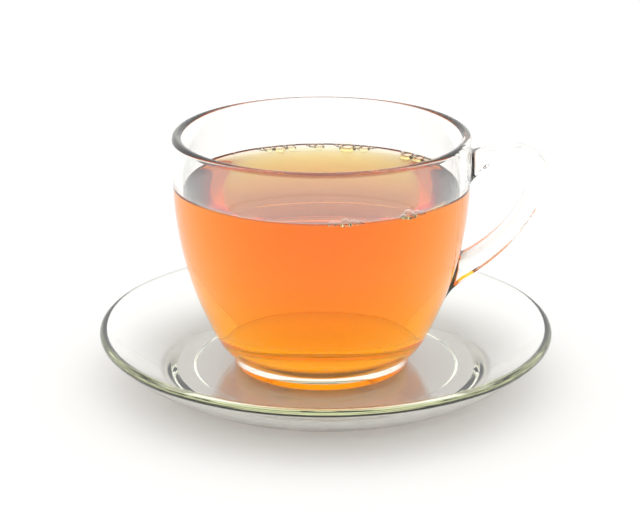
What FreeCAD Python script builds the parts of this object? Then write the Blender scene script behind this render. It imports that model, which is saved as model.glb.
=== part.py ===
"""Glass cup of tea standing on a glass saucer.

The part's frame: the origin is the middle of the saucer's underside, +Z is up and the
cup's handle points along +X. The cup and the tea have a frame of their own, whose origin
is the middle of the cup's foot. All lengths are in millimetres and all angles in degrees.
"""
import FreeCAD, Part
import math
import os
import re
import Sketcher
from FreeCAD import Vector

START, END, CENTRE = 1, 2, 3          # the points of a sketch edge
ORIGIN = (-1, 1)                      # the sketch's own zero point
LEVEL, UPRIGHT = -1, -2               # the sketch's own level and upright axes

CUP_SIZES = (
    ("cup_height", 72.9, "foot to rim"),
    ("rim_radius", 45.0, "outside of the rim and of the straight part of the wall"),
    ("rim_straight", 13.4, "straight part of the wall, from the rim down to the curved belly"),
    ("belly_inset", 15.0, "how far the belly's curve has come in at the height of the neck"),
    ("wall", 2.9, "thickness of the wall"),
    ("lip_round", 1.4, "rounding of both edges of the rim"),
    ("heel_arc", 10.0, "radius of the turn from the wall in to the foot"),
    ("heel_step", 1.4, "how far inside the belly's curve the heel meets the foot"),
    ("foot_height", 4.6, "height of the foot below the heel"),
    ("foot_taper", 1.9, "how much narrower the foot is where it stands than at the neck"),
    ("foot_round", 0.7, "rounding of the foot's lower edge"),
    ("neck_round", 0.8, "rounding of the corner between heel and foot"),
    ("foot_ring", 5.7, "width of the ring that the foot stands on, before its edges are rounded"),
    ("punt_depth", 1.6, "depth of that hollow"),
    ("punt_slope", 2.4, "how far the side of that hollow leans in"),
    ("base_thickness", 6.0, "glass under the tea, from foot to inner floor"),
    ("cavity_corner", 14.0, "radius of the inside corner between wall and floor"),
)
TEA_SIZES = (
    ("tea_below_rim", 15.9, "how far the tea's level lies below the rim"),
    ("tea_gap", 0.08, "clearance between the tea and the glass"),
)
HANDLE_SIZES = (
    ("handle_width", 9.0, "across the handle, along Y"),
    ("handle_round", 2.3, "rounding of the handle's long edges"),
    ("handle_drop", 3.7, "how far the handle's highest point lies below the rim"),
    ("handle_reach", 23.9, "how far the handle stands out from the rim's side"),
    ("handle_root", 14.0, "how far its ends run in from there before the cup is hollowed"),
    ("grip_top", 5.3, "thickness of the handle at its highest point"),
    ("grip_side", 6.2, "thickness of the handle at its outermost point"),
    ("brow_outer", 41.0, "outline radius from the wall to the top, outer side"),
    ("brow_inner", 15.0, "the same on the finger side"),
    ("brow_inner_turn", 38.0, "how far that inner arc turns before it runs straight"),
    ("shoulder_outer", 9.7, "outline radius from the top to the outermost point"),
    ("shoulder_inner", 5.6, "the same on the finger side"),
    ("bend_outer", 17.4, "outline radius just below the outermost point"),
    ("bend_outer_turn", 25.0, "how far that arc turns"),
    ("bend_inner", 9.4, "the same radius on the finger side"),
    ("bend_inner_turn", 23.0, "how far that arc turns"),
    ("tail_outer", 57.5, "outline radius of the long lower run"),
    ("tail_outer_turn", 35.0, "how far that arc turns before it flares"),
    ("tail_inner", 40.0, "the same radius on the finger side"),
    ("flare_arc", 18.0, "radius of the flare that runs into the wall"),
    ("flare_turn", 20.0, "how far that flare turns"),
)
SAUCER_SIZES = (
    ("saucer_radius", 69.8, "outside of the lip"),
    ("saucer_glass", 2.8, "thickness of the sloping wall and of the lip"),
    ("well_height", 4.5, "flat top of the well, on which the cup stands"),
    ("base_radius", 46.2, "outside of the flat that stands on the table"),
    ("base_ring", 5.0, "width of that flat"),
    ("base_hollow", 0.8, "depth of the hollow inside that flat"),
    ("bowl_arc", 60.0, "radius of the saucer's sloping wall, outside"),
    ("bowl_start", 18.85, "slope of that wall where it leaves the base"),
    ("base_round", 1.0, "rounding of the base's outer edge"),
    ("well_round", 8.0, "rounding between well and sloping wall"),
    ("cup_shift", -1.3, "how far off the middle the cup stands, along X"),
)


DERIVED_SIZES = (
    ("belly_height", "=cup_height - rim_straight", "where the wall starts to curve in"),
    ("belly_arc", "=((belly_height - foot_height) ^ 2 + belly_inset ^ 2) / (2 * belly_inset)",
     "radius of the belly's curve, outside"),
    ("neck_radius", "=rim_radius - belly_inset - heel_step", "where the heel meets the foot"),
    ("foot_radius", "=neck_radius - foot_taper", "foot where it stands"),
    ("punt_radius", "=foot_radius - foot_ring", "hollow under the foot"),
    ("tea_level", "=cup_height - tea_below_rim", "the tea's level"),
    ("handle_top", "=cup_height - handle_drop", "highest point of the handle"),
)
ROWS = CUP_SIZES + TEA_SIZES + HANDLE_SIZES + SAUCER_SIZES + DERIVED_SIZES


def make_sheet(doc):
    """Every driving size, and the few that follow from them, as named cells of one spreadsheet."""
    sheet = doc.addObject("Spreadsheet::Sheet", "Sizes")
    for row, (alias, value, note) in enumerate(ROWS, start=1):
        sheet.set(f"A{row}", alias)
        sheet.set(f"B{row}", str(value))
        sheet.set(f"C{row}", note)
        sheet.setAlias(f"B{row}", alias)
    doc.recompute()
    return sheet


class Outline:
    """A closed sketch outline in a body's XZ plane, drawn edge by edge.

    Every edge is drawn where the sizes put it and then tied down: joints between edges
    by tangent or meeting constraints, radii and places by expressions on the sheet.
    """

    def __init__(self, body, name, sheet):
        plane = next(f for f in body.Origin.OriginFeatures if f.Role == "XZ_Plane")
        self.sketch = body.newObject("Sketcher::SketchObject", name)
        self.sketch.AttachmentSupport = [(plane, "")]
        self.sketch.MapMode = "FlatFace"
        self.sheet = sheet

    def value(self, formula):
        """A formula on the sheet's aliases, worked out for the first drawing."""
        return float(self.sheet.evalExpression(formula))

    def line(self, start, end):
        return self.sketch.addGeometry(Part.LineSegment(Vector(*start, 0), Vector(*end, 0)), False)

    def arc(self, centre, radius, first, last):
        """An arc drawn anticlockwise from first to last, both in degrees."""
        circle = Part.Circle(Vector(*centre, 0), Vector(0, 0, 1), radius)
        edge = Part.ArcOfCircle(circle, math.radians(first), math.radians(last))
        return self.sketch.addGeometry(edge, False)

    def tie(self, kind, *where):
        return self.sketch.addConstraint(Sketcher.Constraint(kind, *where))

    def size(self, kind, formula, *where):
        """A dimension whose value is a formula on the sheet."""
        value, unit = self.value(formula), "mm"
        if kind == "Angle":
            value, unit = math.radians(value), "deg"
        number = self.sketch.addConstraint(Sketcher.Constraint(kind, *where, value))
        self.sketch.setExpression(f"Constraints[{number}]", f"({bind(formula)}) * 1 {unit}")

    def place(self, geometry, point, x_formula, y_formula):
        """Tie one point of an edge down in both directions."""
        self.size("DistanceX", x_formula, *ORIGIN, geometry, point)
        self.size("DistanceY", y_formula, *ORIGIN, geometry, point)

    def on_axis(self, geometry, point):
        self.tie("PointOnObject", geometry, point, UPRIGHT)

    def join(self, *pairs):
        """Edges that meet at a corner."""
        for (first, first_point), (second, second_point) in pairs:
            self.tie("Coincident", first, first_point, second, second_point)

    def smooth(self, *pairs):
        """Edges that run into each other without a corner."""
        for (first, first_point), (second, second_point) in pairs:
            self.tie("Tangent", first, first_point, second, second_point)


ALIASES = {alias for alias, _, _ in ROWS}


def bind(formula):
    """The same formula with every alias written as a cell of the sheet."""
    return re.sub(r"[a-z_]+", lambda word: "Sizes." + word[0] if word[0] in ALIASES else word[0], formula)


def crossing(first, first_radius, second, second_radius):
    """Where two circles cross: of the two points, the upper one."""
    across, rise = second[0] - first[0], second[1] - first[1]
    apart = math.hypot(across, rise)
    along = (first_radius ** 2 - second_radius ** 2 + apart ** 2) / (2 * apart)
    aside = math.sqrt(first_radius ** 2 - along ** 2)
    middle = (first[0] + along * across / apart, first[1] + along * rise / apart)
    return (middle[0] - aside * rise / apart, middle[1] + aside * across / apart)


def heading(start, end):
    """The direction from one point to another, in degrees."""
    return math.degrees(math.atan2(end[1] - start[1], end[0] - start[0]))


def around(centre, radius, angle):
    """The point of a circle at an angle in degrees."""
    turn = math.radians(angle)
    return (centre[0] + radius * math.cos(turn), centre[1] + radius * math.sin(turn))


def run_to(start, angle, across):
    """Where a straight run from start, at an angle to the level, comes to a given X."""
    return (across, start[1] + math.tan(math.radians(angle)) * (across - start[0]))


def outline_bowl(body, sheet):
    """The outside of the cup without its handle: foot, heel, curved belly and straight wall."""
    drawing = Outline(body, "bowl_outline", sheet)
    value = drawing.value
    rim, height, belly = value("rim_radius"), value("cup_height"), value("belly_height")
    neck, foot = (value("neck_radius"), value("foot_height")), (value("foot_radius"), 0)
    punt_top = (value("punt_radius - punt_slope"), value("punt_depth"))
    punt_edge = (value("punt_radius"), 0)
    belly_centre = (value("rim_radius - belly_arc"), belly)
    heel_centre = crossing(belly_centre, value("belly_arc - heel_arc"), neck, value("heel_arc"))
    turn = heading(belly_centre, heel_centre)

    punt = drawing.line((0, punt_top[1]), punt_top)
    slope = drawing.line(punt_top, punt_edge)
    flat = drawing.line(punt_edge, foot)
    side = drawing.line(foot, neck)
    heel = drawing.arc(heel_centre, value("heel_arc"), heading(heel_centre, neck), turn)
    curve = drawing.arc(belly_centre, value("belly_arc"), turn, 0)
    wall = drawing.line((rim, belly), (rim, height))
    top = drawing.line((rim, height), (0, height))
    axis = drawing.line((0, height), (0, punt_top[1]))

    drawing.join(((punt, END), (slope, START)), ((slope, END), (flat, START)),
                 ((flat, END), (side, START)), ((side, END), (heel, START)),
                 ((curve, END), (wall, START)), ((wall, END), (top, START)),
                 ((top, END), (axis, START)), ((axis, END), (punt, START)))
    drawing.smooth(((heel, END), (curve, START)))
    for edge in (punt, flat, top):
        drawing.tie("Horizontal", edge)
    drawing.tie("Vertical", wall)
    drawing.tie("Horizontal", curve, CENTRE, curve, END)
    drawing.on_axis(punt, START)
    drawing.on_axis(top, END)
    drawing.place(punt, END, "punt_radius - punt_slope", "punt_depth")
    drawing.size("DistanceX", "punt_radius", *ORIGIN, flat, START)
    drawing.tie("PointOnObject", flat, START, LEVEL)
    drawing.size("DistanceX", "foot_radius", *ORIGIN, flat, END)
    drawing.place(side, END, "neck_radius", "foot_height")
    drawing.size("Radius", "heel_arc", heel)
    drawing.size("Radius", "belly_arc", curve)
    drawing.place(curve, END, "rim_radius", "belly_height")
    drawing.size("DistanceY", "cup_height", *ORIGIN, wall, END)
    return drawing.sketch


def outline_cavity(body, sheet, gap):
    """The inside of the cup up past its rim; gap is a formula that draws it smaller all round."""
    drawing = Outline(body, "cavity_outline", sheet)
    wall, floor = f"(wall + {gap})", f"(base_thickness + {gap})"
    corner, top = f"(cavity_corner - {gap})", "(cup_height + wall)"
    value = drawing.value
    belly, inside = value("belly_height"), value(f"rim_radius - {wall}")
    belly_centre = (value("rim_radius - belly_arc"), belly)
    radius = value(f"belly_arc - {wall}")
    corner_height = value(f"{floor} + {corner}")
    reach = math.sqrt((radius - value(corner)) ** 2 - (belly - corner_height) ** 2)
    corner_centre = (belly_centre[0] + reach, corner_height)
    turn = heading(belly_centre, corner_centre)

    ground = drawing.line((0, value(floor)), (corner_centre[0], value(floor)))
    bend = drawing.arc(corner_centre, value(corner), -90, turn)
    curve = drawing.arc(belly_centre, radius, turn, 0)
    side = drawing.line((inside, belly), (inside, value(top)))
    lid = drawing.line((inside, value(top)), (0, value(top)))
    axis = drawing.line((0, value(top)), (0, value(floor)))

    drawing.smooth(((ground, END), (bend, START)), ((bend, END), (curve, START)))
    drawing.join(((curve, END), (side, START)), ((side, END), (lid, START)),
                 ((lid, END), (axis, START)), ((axis, END), (ground, START)))
    drawing.tie("Horizontal", ground)
    drawing.tie("Horizontal", lid)
    drawing.tie("Vertical", side)
    drawing.tie("Horizontal", curve, CENTRE, curve, END)
    drawing.on_axis(ground, START)
    drawing.on_axis(lid, END)
    drawing.size("DistanceY", floor, *ORIGIN, ground, START)
    drawing.size("Radius", corner, bend)
    drawing.size("Radius", f"belly_arc - {wall}", curve)
    drawing.place(curve, END, f"rim_radius - {wall}", "belly_height")
    drawing.size("DistanceY", top, *ORIGIN, side, END)
    return drawing.sketch


def handle_side(drawing, side, reach, top):
    """One side of the handle's outline, from its upper root round to its lower run.

    side is "outer" or "inner", reach and top are the formulas of its outermost and highest
    points. Returns the first and last edge and the centres of those two arcs.
    """
    value = drawing.value
    brow_radius, shoulder_radius = value(f"brow_{side}"), value(f"shoulder_{side}")
    bend_radius, tail_radius = value(f"bend_{side}"), value(f"tail_{side}")
    shoulder_centre = (value(reach) - shoulder_radius, value(top) - shoulder_radius)
    brow_centre = (shoulder_centre[0], value(top) - brow_radius)
    bend_centre = (value(reach) - bend_radius, shoulder_centre[1])
    bend_end = around(bend_centre, bend_radius, -value(f"bend_{side}_turn"))
    tail_centre = around(bend_end, -tail_radius, -value(f"bend_{side}_turn"))
    root = value("rim_radius - handle_root")

    if side == "outer":
        brow_last = math.degrees(math.acos((root - brow_centre[0]) / brow_radius))
        tail_last = -value("bend_outer_turn") - value("tail_outer_turn")
    else:
        brow_last = 90 + value("brow_inner_turn")
        tail_last = -math.degrees(math.acos((root - tail_centre[0]) / tail_radius))
    brow = drawing.arc(brow_centre, brow_radius, 90, brow_last)
    shoulder = drawing.arc(shoulder_centre, shoulder_radius, 0, 90)
    bend = drawing.arc(bend_centre, bend_radius, -value(f"bend_{side}_turn"), 0)
    tail = drawing.arc(tail_centre, tail_radius, tail_last, -value(f"bend_{side}_turn"))

    drawing.smooth(((brow, START), (shoulder, END)), ((shoulder, START), (bend, END)),
                   ((bend, START), (tail, END)))
    for edge, name in ((brow, "brow"), (shoulder, "shoulder"), (bend, "bend"), (tail, "tail")):
        drawing.size("Radius", f"{name}_{side}", edge)
    drawing.size("Angle", f"bend_{side}_turn", bend)
    drawing.tie("Vertical", shoulder, CENTRE, shoulder, END)
    drawing.tie("Horizontal", shoulder, CENTRE, shoulder, START)
    drawing.size("DistanceY", top, *ORIGIN, shoulder, END)
    drawing.size("DistanceX", reach, *ORIGIN, shoulder, START)
    return brow, brow_centre, tail, tail_centre


def outline_handle(body, sheet):
    """The handle seen from the side: an ear whose roots run on into the cup."""
    drawing = Outline(body, "handle_outline", sheet)
    value = drawing.value
    reach, top = "(rim_radius + handle_reach)", "handle_top"
    root = value("rim_radius - handle_root")
    brow_outer, _, tail_outer, tail_centre = handle_side(drawing, "outer", reach, top)
    brow_inner, brow_centre, tail_inner, _ = handle_side(
        drawing, "inner", f"({reach} - grip_side)", f"({top} - grip_top)")

    tail_heading = -value("bend_outer_turn") - value("tail_outer_turn")
    tail_end = around(tail_centre, value("tail_outer"), tail_heading)
    flare_centre = around(tail_end, value("flare_arc"), tail_heading)
    flare_first, flare_last = 180 + tail_heading, 180 + tail_heading + value("flare_turn")
    flare = drawing.arc(flare_centre, value("flare_arc"), flare_first, flare_last)
    flare_end = around(flare_centre, value("flare_arc"), flare_last)
    low_corner = run_to(flare_end, flare_last + 90, root)
    brow_end = around(brow_centre, value("brow_inner"), 90 + value("brow_inner_turn"))
    high_corner = run_to(brow_end, value("brow_inner_turn"), root)
    lower, upper = drawing.line(flare_end, low_corner), drawing.line(brow_end, high_corner)
    low_root = drawing.line(low_corner, edge_point(drawing, tail_inner, START))
    high_root = drawing.line(high_corner, edge_point(drawing, brow_outer, END))

    drawing.smooth(((tail_outer, START), (flare, START)), ((flare, END), (lower, START)),
                   ((brow_inner, END), (upper, START)))
    drawing.join(((lower, END), (low_root, START)), ((low_root, END), (tail_inner, START)),
                 ((upper, END), (high_root, START)), ((high_root, END), (brow_outer, END)))
    drawing.size("Angle", "tail_outer_turn", tail_outer)
    drawing.size("Angle", "brow_inner_turn", brow_inner)
    drawing.size("Radius", "flare_arc", flare)
    drawing.size("Angle", "flare_turn", flare)
    for edge in (low_root, high_root):
        drawing.size("DistanceX", "rim_radius - handle_root", *ORIGIN, edge, START)
        drawing.tie("Vertical", edge)
    return drawing.sketch


def edge_point(drawing, edge, point):
    """Where a drawn edge begins or ends."""
    place = drawing.sketch.getPoint(edge, point)
    return (place.x, place.y)


def outline_saucer(body, sheet):
    """The saucer's section: hollowed base, sloping wall, round lip and flat well."""
    drawing = Outline(body, "saucer_outline", sheet)
    value = drawing.value
    base, ring = value("base_radius"), value("base_radius - base_ring")
    hollow, well = value("base_hollow"), value("well_height")
    radius, glass = value("bowl_arc"), value("saucer_glass")
    start = value("bowl_start")
    centre_x = "(base_radius - bowl_arc * sin(bowl_start * 1 deg))"
    centre = (value(centre_x), radius * math.cos(math.radians(start)))
    middle = radius - glass / 2
    lip_x = value("saucer_radius") - glass / 2
    rise = math.degrees(math.acos((lip_x - centre[0]) / middle))
    lip_centre = around(centre, middle, -rise)
    well_end = math.degrees(math.asin((well - centre[1]) / (radius - glass)))
    well_edge = around(centre, radius - glass, well_end)

    inside = drawing.line((0, hollow), (ring - hollow, hollow))
    slope = drawing.line((ring - hollow, hollow), (ring, 0))
    flat = drawing.line((ring, 0), (base, 0))
    outer = drawing.arc(centre, radius, start - 90, -rise)
    lip = drawing.arc(lip_centre, glass / 2, -rise, 180 - rise)
    inner = drawing.arc(centre, radius - glass, well_end, -rise)
    floor = drawing.line(well_edge, (0, well))
    axis = drawing.line((0, well), (0, hollow))

    drawing.join(((inside, END), (slope, START)), ((slope, END), (flat, START)),
                 ((flat, END), (outer, START)), ((inner, START), (floor, START)),
                 ((floor, END), (axis, START)), ((axis, END), (inside, START)))
    drawing.smooth(((outer, END), (lip, START)), ((lip, END), (inner, END)))
    for edge in (inside, flat, floor):
        drawing.tie("Horizontal", edge)
    drawing.on_axis(inside, START)
    drawing.on_axis(floor, END)
    drawing.place(inside, END, "base_radius - base_ring - base_hollow", "base_hollow")
    drawing.size("DistanceX", "base_radius - base_ring", *ORIGIN, flat, START)
    drawing.tie("PointOnObject", flat, START, LEVEL)
    drawing.size("DistanceX", "base_radius", *ORIGIN, flat, END)
    drawing.size("Radius", "bowl_arc", outer)
    drawing.size("DistanceX", centre_x, *ORIGIN, outer, CENTRE)
    drawing.tie("Coincident", inner, CENTRE, outer, CENTRE)
    drawing.size("Radius", "bowl_arc - saucer_glass", inner)
    drawing.size("DistanceX", "saucer_radius - saucer_glass / 2", *ORIGIN, lip, CENTRE)
    drawing.size("DistanceY", "well_height", *ORIGIN, floor, END)
    return drawing.sketch


def outline_above_tea(body, sheet):
    """Everything above the tea's level, wide enough to clear the cup."""
    drawing = Outline(body, "above_tea", sheet)
    value = drawing.value
    level, top, side = "tea_level", "(cup_height + 2 * wall)", "rim_radius"
    corners = [(0, value(level)), (value(side), value(level)),
               (value(side), value(top)), (0, value(top))]
    edges = [drawing.line(start, end) for start, end in zip(corners, corners[1:] + corners[:1])]
    for edge, after in zip(edges, edges[1:] + edges[:1]):
        drawing.join(((edge, END), (after, START)))
    for edge in (edges[0], edges[2]):
        drawing.tie("Horizontal", edge)
    drawing.tie("Vertical", edges[1])
    drawing.on_axis(edges[0], START)
    drawing.on_axis(edges[3], START)
    drawing.place(edges[0], END, side, level)
    drawing.size("DistanceY", top, *ORIGIN, edges[2], START)
    return drawing.sketch


def revolve(body, kind, name, sketch):
    """A full turn of a sketch about its upright axis: material added or, as a groove, removed."""
    turned = body.newObject(f"PartDesign::{kind}", name)
    turned.Profile = sketch
    turned.ReferenceAxis = (sketch, ["V_Axis"])
    turned.Angle = 360
    sketch.Visibility = False
    body.Document.recompute()
    return turned


def circles_at(shape, places):
    """Names of the full circles about Z that have one of these (radius, height) pairs."""
    names = []
    for number, edge in enumerate(shape.Edges, start=1):
        if edge.Curve.TypeId != "Part::GeomCircle":
            continue
        size = (edge.Curve.Radius, edge.Curve.Center.z)
        if any(math.dist(size, place) < 1e-3 for place in places):
            names.append(f"Edge{number}")
    return names


def round_edges(body, name, base, edges, radius):
    """A fillet on named edges, its radius a formula on the sheet."""
    fillet = body.newObject("PartDesign::Fillet", name)
    fillet.Base = (base, edges)
    fillet.Radius = 1
    fillet.setExpression("Radius", bind(radius))
    body.Document.recompute()
    return fillet


def place_on_saucer(body):
    """Stand a piece that is drawn from the cup's foot on the saucer's well."""
    body.setExpression("Placement.Base.x", bind("cup_shift"))
    body.setExpression("Placement.Base.z", bind("well_height"))


def new_body(doc, label):
    body = doc.addObject("PartDesign::Body", label + "_body")
    body.Label = label
    return body


def make_cup(doc, sheet):
    """Bowl, foot and handle, pressed as one piece of glass."""
    body = new_body(doc, "cup")
    handle = body.newObject("PartDesign::Pad", "handle")
    handle.Profile = outline_handle(body, sheet)
    handle.Midplane = True
    handle.setExpression("Length", bind("handle_width"))
    doc.recompute()
    long_edges = [f"Edge{number}" for number, edge in enumerate(handle.Shape.Edges, start=1)
                  if edge.BoundBox.YLength < 1e-6 < edge.BoundBox.XLength]
    rounding = "min(handle_round; min(grip_top; min(grip_side; handle_width)) * 0.45)"
    round_edges(body, "handle_rounding", handle, long_edges, rounding)

    revolve(body, "Revolution", "bowl", outline_bowl(body, sheet))
    hollow = revolve(body, "Groove", "hollow", outline_cavity(body, sheet, "0"))
    rim, height = sheet.rim_radius, sheet.cup_height
    rim_edges = circles_at(hollow.Shape, [(rim, height), (rim - sheet.wall, height)])
    lip = round_edges(body, "lip", hollow, rim_edges, "min(lip_round; wall * 0.49)")
    neck_edges = circles_at(lip.Shape, [(sheet.neck_radius, sheet.foot_height)])
    neck = round_edges(body, "neck", lip, neck_edges, "neck_round")
    foot_edges = circles_at(neck.Shape, [(sheet.foot_radius, 0), (sheet.punt_radius, 0)])
    round_edges(body, "foot", neck, foot_edges, "foot_round")
    place_on_saucer(body)
    return body


def make_tea(doc, sheet):
    """The tea: the cup's inside, a hair smaller, up to the level."""
    body = new_body(doc, "tea")
    revolve(body, "Revolution", "filling", outline_cavity(body, sheet, "tea_gap"))
    revolve(body, "Groove", "level", outline_above_tea(body, sheet))
    place_on_saucer(body)
    return body


def make_saucer(doc, sheet):
    """The saucer, turned in one piece."""
    body = new_body(doc, "saucer")
    plate = revolve(body, "Revolution", "plate", outline_saucer(body, sheet))
    base_edges = circles_at(plate.Shape, [(sheet.base_radius, 0)])
    base = round_edges(body, "base_rounding", plate, base_edges, "base_round")
    inner_arc = sheet.bowl_arc - sheet.saucer_glass
    slope = math.radians(sheet.bowl_start)
    below = sheet.bowl_arc * math.cos(slope) - sheet.well_height
    well_radius = (sheet.base_radius - sheet.bowl_arc * math.sin(slope)
                   + math.sqrt(inner_arc ** 2 - below ** 2))
    well_edges = circles_at(base.Shape, [(well_radius, sheet.well_height)])
    round_edges(body, "well_rounding", base, well_edges, "well_round")
    return body


def check(doc, bodies):
    """Stop on any failed feature or empty shape."""
    for thing in doc.Objects:
        if "Invalid" in thing.State or "Error" in thing.State:
            raise RuntimeError(f"{thing.Name} failed: {thing.State}")
    for body in bodies:
        shape = body.Shape
        if shape.isNull() or not shape.isValid() or len(shape.Solids) != 1:
            raise RuntimeError(f"{body.Label} is not one valid solid")
        box = shape.optimalBoundingBox()
        print(f"{body.Label}: {shape.Volume / 1000:.2f} cm3, x {box.XMin:.2f} to {box.XMax:.2f}, "
              f"y {box.YMin:.2f} to {box.YMax:.2f}, z {box.ZMin:.2f} to {box.ZMax:.2f}")


def main():
    doc = FreeCAD.newDocument("glass_cup_of_tea")
    sheet = make_sheet(doc)
    bodies = [make_saucer(doc, sheet), make_cup(doc, sheet), make_tea(doc, sheet)]
    doc.recompute()
    check(doc, bodies)
    os.makedirs("parts", exist_ok=True)
    for body in bodies:
        body.Shape.exportStep(f"parts/{body.Label}.step")


main()
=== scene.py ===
# %% [markdown]
# # A glass cup of tea
#
# A clear pressed-glass cup with an ear-shaped handle stands on a clear glass saucer and is
# filled with orange tea, with small bubbles round the edge of the tea. Nearly all that shows
# is light bent by glass and tea, so two things matter most here: walls of the true thickness,
# because they do the bending, and soft surroundings with both bright and dark places,
# because clear glass shows nothing but its surroundings.
#
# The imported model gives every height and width. The pieces made below stand for its nodes:
# the same shapes, cut much finer, because a lens shows every facet.

import math

import bmesh
import bpy
from mathutils import Matrix, Vector
from mathutils.bvhtree import BVHTree


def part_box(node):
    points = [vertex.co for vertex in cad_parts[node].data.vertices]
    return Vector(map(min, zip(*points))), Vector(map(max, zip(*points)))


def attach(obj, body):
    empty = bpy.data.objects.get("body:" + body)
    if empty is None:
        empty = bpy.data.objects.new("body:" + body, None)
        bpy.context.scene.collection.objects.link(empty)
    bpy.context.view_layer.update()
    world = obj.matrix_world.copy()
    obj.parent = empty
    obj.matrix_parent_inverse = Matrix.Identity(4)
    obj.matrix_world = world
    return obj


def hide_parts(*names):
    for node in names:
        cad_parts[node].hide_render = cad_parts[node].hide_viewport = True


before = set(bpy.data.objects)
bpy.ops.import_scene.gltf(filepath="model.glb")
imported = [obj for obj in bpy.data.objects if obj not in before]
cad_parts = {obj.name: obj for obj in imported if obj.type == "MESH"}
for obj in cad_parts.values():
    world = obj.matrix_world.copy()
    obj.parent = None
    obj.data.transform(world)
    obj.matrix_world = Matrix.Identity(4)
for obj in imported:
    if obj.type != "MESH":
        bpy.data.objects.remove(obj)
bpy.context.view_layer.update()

MM = 0.001
cup_low, cup_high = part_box("cup")
saucer_low, saucer_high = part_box("saucer")
tea_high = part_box("tea")[1]
print("nodes:", ", ".join(sorted(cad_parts)))
print("cup", (cup_high - cup_low) / MM, "saucer", (saucer_high - saucer_low) / MM)

# %% [markdown]
# ## Two small helpers
#
# Colours are written as the hex values that a painter would pick on a screen, and Blender's
# sockets want linear light, so one function turns one into the other. Another adds a node to
# any tree, for shaders and Geometry Nodes alike: its options, and what goes into its sockets,
# either a plain value or the node that feeds it.


# %% Helpers
def linear(hex_colour):
    """An sRGB hex colour as linear red, green, blue and alpha."""
    parts = [int(hex_colour[place:place + 2], 16) / 255 for place in (1, 3, 5)]
    return [c / 12.92 if c <= 0.04045 else ((c + 0.055) / 1.055) ** 2.4 for c in parts] + [1.0]


def add(tree, kind, options={}, inputs={}):
    """Add a node, set its options, and fill its sockets from values, nodes or sockets."""
    node = tree.nodes.new(kind)
    for name, value in options.items():
        setattr(node, name, value)
    for name, value in inputs.items():
        if isinstance(value, bpy.types.Node):
            value = value.outputs[0]
        if isinstance(value, bpy.types.NodeSocket):
            tree.links.new(value, node.inputs[name])
        else:
            node.inputs[name].default_value = value
    return node


MATH, VECTOR_MATH = "ShaderNodeMath", "ShaderNodeVectorMath"
print("white paper is", [round(c, 3) for c in linear("#f7f7f5")])

# %% [markdown]
# ## Glass
#
# The cup and the saucer are soda-lime glass, pressed in a mould and then fire-polished: a
# flame melts the skin until it shines. To the eye that gives a clean, sharp gloss, a very
# faint waviness where the skin flowed, and a yellow-green tint that only adds up where the
# light runs a long way inside the glass, as round a rim. So the colour is white, the
# roughness is zero, the refractive index is that of soda-lime glass, and absorption takes
# a little blue and red out along the way. The waviness is a shallow bump a few millimetres wide.


# %% Soda-lime glass, pressed and fire-polished
GLASS_IOR = 1.52
WAVE_MM = 9.0


def gloss_by_wetting(tree):
    """White where the surface meets air, black where glass and tea meet."""
    wet = add(tree, "ShaderNodeAttribute", {"attribute_name": "wetted"})
    dry = add(tree, "ShaderNodeMath", {"operation": "SUBTRACT", "use_clamp": True}, {
        0: 1.0, 1: wet.outputs["Fac"]})
    return dry


def pressed_glass(name, tint, tint_density, wave_height_mm):
    """Clear glass that takes its tint over the length of the light's way through it."""
    material = bpy.data.materials.new(name)
    material.use_nodes = True
    tree = material.node_tree
    tree.nodes.clear()
    place = add(tree, "ShaderNodeTexCoord")
    waves = add(tree, "ShaderNodeTexNoise", {}, {
        "Vector": place.outputs["Object"], "Scale": 1 / (WAVE_MM * MM), "Detail": 1.5,
        "Roughness": 0.4})
    skin = add(tree, "ShaderNodeBump", {}, {
        "Strength": 1.0, "Distance": wave_height_mm * MM, "Height": waves.outputs["Fac"]})
    surface = add(tree, "ShaderNodeBsdfPrincipled", {}, {
        "Base Color": (1.0, 1.0, 1.0, 1.0), "Roughness": 0.0, "IOR": GLASS_IOR,
        "Transmission Weight": 1.0, "Specular Tint": gloss_by_wetting(tree), "Normal": skin})
    inside = add(tree, "ShaderNodeVolumeAbsorption", {}, {
        "Color": linear(tint), "Density": tint_density})
    add(tree, "ShaderNodeOutputMaterial", {}, {"Surface": surface, "Volume": inside})
    return material


cup_glass = pressed_glass("soda_lime_glass_cup", "#e6e6c8", 9.0, 0.012)
saucer_glass = pressed_glass("soda_lime_glass_saucer", "#e2e6bc", 14.0, 0.012)
print("glass bends light by", GLASS_IOR)

# %% [markdown]
# ## Tea
#
# Black tea, brewed clear. It takes blue light away within millimetres and green light within
# centimetres, and lets red through. That is why the same tea is yellow where it is shallow,
# orange where it is deep, and red-brown at the sides. An even absorption through the volume
# does all of that by itself, so nothing is painted.

# %% Clear brewed tea
TEA_IOR = 1.333
tea_liquid = bpy.data.materials.new("brewed_black_tea")
tea_liquid.use_nodes = True
tree = tea_liquid.node_tree
tree.nodes.clear()
place = add(tree, "ShaderNodeTexCoord")
swell = add(tree, "ShaderNodeTexNoise", {}, {
    "Vector": place.outputs["Object"], "Scale": 1 / (14 * MM), "Detail": 1.0})
skin = add(tree, "ShaderNodeBump", {}, {
    "Strength": 1.0, "Distance": 0.01 * MM, "Height": swell.outputs["Fac"]})
surface = add(tree, "ShaderNodeBsdfPrincipled", {}, {
    "Base Color": (1.0, 1.0, 1.0, 1.0), "Roughness": 0.0, "IOR": TEA_IOR,
    "Transmission Weight": 1.0, "Specular Tint": gloss_by_wetting(tree), "Normal": skin})
body = add(tree, "ShaderNodeVolumeAbsorption", {}, {"Color": linear("#feec28"), "Density": 130.0})
add(tree, "ShaderNodeOutputMaterial", {}, {"Surface": surface, "Volume": body})
print("tea takes colour out through", len(tree.nodes), "nodes")

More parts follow.
